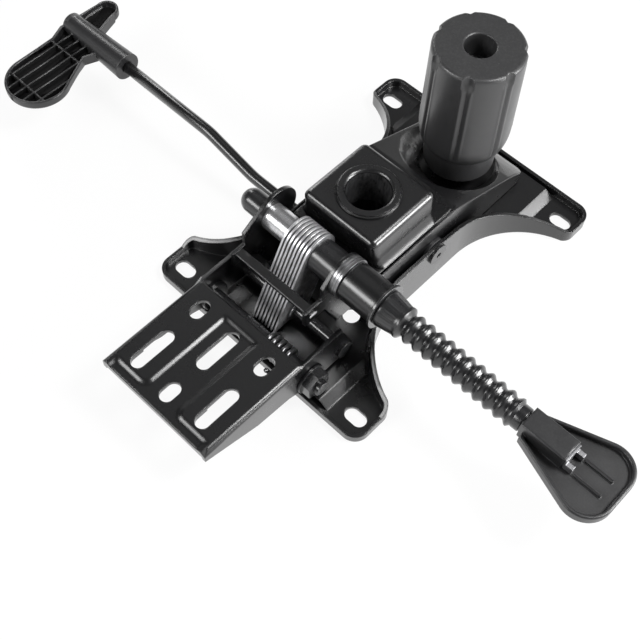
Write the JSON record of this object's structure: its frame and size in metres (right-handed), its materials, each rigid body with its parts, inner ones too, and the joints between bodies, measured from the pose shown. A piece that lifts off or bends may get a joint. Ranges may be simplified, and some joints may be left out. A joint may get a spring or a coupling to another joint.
{
  "type": "office chair tilt mechanism",
  "caption": "Swivel chair tilt mechanism with a slotted seat pan, rocking gas lift carrier, tension knob, plate clamp with a ribbed lever, backrest bracket and height lever.",
  "frame": {"origin": "centre of the four seat slots, on the face that bolts to the seat", "axes": "+Z away from the seat, +Y to the front of the chair, +X to the clamp lever"},
  "size_m": [0.4905, 0.3055, 0.125],
  "materials": {
    "black_coat": "satin black powder coat on pressed steel",
    "rod_coat": "gloss black on round steel rod",
    "moulded_grip": "fine grained charcoal moulding",
    "charcoal_knob": "charcoal moulding, a shade paler than the levers",
    "bright_steel": "bright plated steel",
    "plate_steel": "stamped steel plate, sheared edges",
    "dark_steel": "black oxide",
    "nylon": "black nylon"
  },
  "bodies": {
    "seat_frame": {"seat_pan": "black_coat", "carrier_hinge_pins": "dark_steel", "hinge_bracket": "black_coat", "back_hinge_bolt": "dark_steel", "back_hinge_nut": "dark_steel", "clamp_yoke": "black_coat", "yoke_rivets": "dark_steel", "tie_bar": "black_coat", "clamp_shaft": "bright_steel", "shaft_cap": "moulded_grip", "spacer_tube": "bright_steel", "friction_discs": "dark_steel", "pack_collar": "dark_steel", "disc_springs": "bright_steel", "tension_bolt": "dark_steel"},
    "carrier": {"carrier_channel": "black_coat", "gas_saddle": "black_coat", "taper_socket": "black_coat", "hinge_bushes": "nylon", "rod_bush": "nylon"},
    "spring_follower": {"thrust_washer": "bright_steel", "tension_spring": "dark_steel"},
    "tension_knob": {"tension_knob": "charcoal_knob", "knob_nut": "bright_steel"},
    "back_bracket": {"back_bracket": "black_coat", "back_bushes": "nylon", "link_pin": "bright_steel", "link_clips": "bright_steel", "return_spring": "dark_steel"},
    "plate_pack": {"lamella_1": "plate_steel", "lamella_2": "plate_steel", "lamella_3": "plate_steel", "lamella_4": "plate_steel", "lamella_5": "plate_steel", "lamella_6": "plate_steel", "lamella_7": "plate_steel", "lamella_8": "plate_steel"},
    "clamp_lever": {"cam_sleeve": "black_coat", "rim_washer": "bright_steel", "lever_core": "dark_steel", "lever_grip": "moulded_grip", "clamp_paddle": "moulded_grip", "paddle_clip": "dark_steel"},
    "height_lever": {"height_rod": "rod_coat", "lever_pin": "dark_steel", "lever_finger": "dark_steel", "height_paddle": "moulded_grip"}
  },
  "joints": [
    {"name": "carrier_tilt", "type": "hinge", "parent": "seat_frame", "child": "carrier", "pos_m": [0, 0.009, 0.026], "axis": [1, 0, 0], "range_deg": [0, 6], "stiffness_Nm_per_rad": 120, "springref_deg": -2.86, "deforming": ["tension_spring"]},
    {"name": "knob_feed", "type": "slide", "parent": "seat_frame", "child": "spring_follower", "axis": [0, 0, -1], "range_m": [0, 0.0045], "deforming": ["tension_spring"]},
    {"name": "knob_turn", "type": "hinge", "parent": "spring_follower", "child": "tension_knob", "pos_m": [0, 0.079, 0.1], "axis": [0, 0, -1], "range_deg": [0, 1080]},
    {"name": "back_tilt", "type": "hinge", "parent": "seat_frame", "child": "back_bracket", "pos_m": [0, -0.107, 0.02], "axis": [1, 0, 0], "range_deg": [0, 15], "deforming": ["return_spring"]},
    {"name": "plate_swing", "type": "hinge", "parent": "seat_frame", "child": "plate_pack", "pos_m": [0, -0.0573, 0.056], "axis": [1, 0, 0], "range_deg": [-6, 0]},
    {"name": "lever_turn", "type": "hinge", "parent": "seat_frame", "child": "clamp_lever", "pos_m": [0.05, -0.0573, 0.056], "axis": [1, 0, 0], "range_deg": [0, 60]},
    {"name": "height_pull", "type": "hinge", "parent": "carrier", "child": "height_lever", "pos_m": [-0.0297, -0.0282, 0.0235], "axis": [0, -1, 0], "range_deg": [0, 5]}
  ],
  "couplings": [
    {"joint": "knob_feed", "follows": "knob_turn", "m_per_rad": 0.00023873},
    {"joint": "plate_swing", "follows": "back_tilt", "ratio": -0.362}
  ]
}
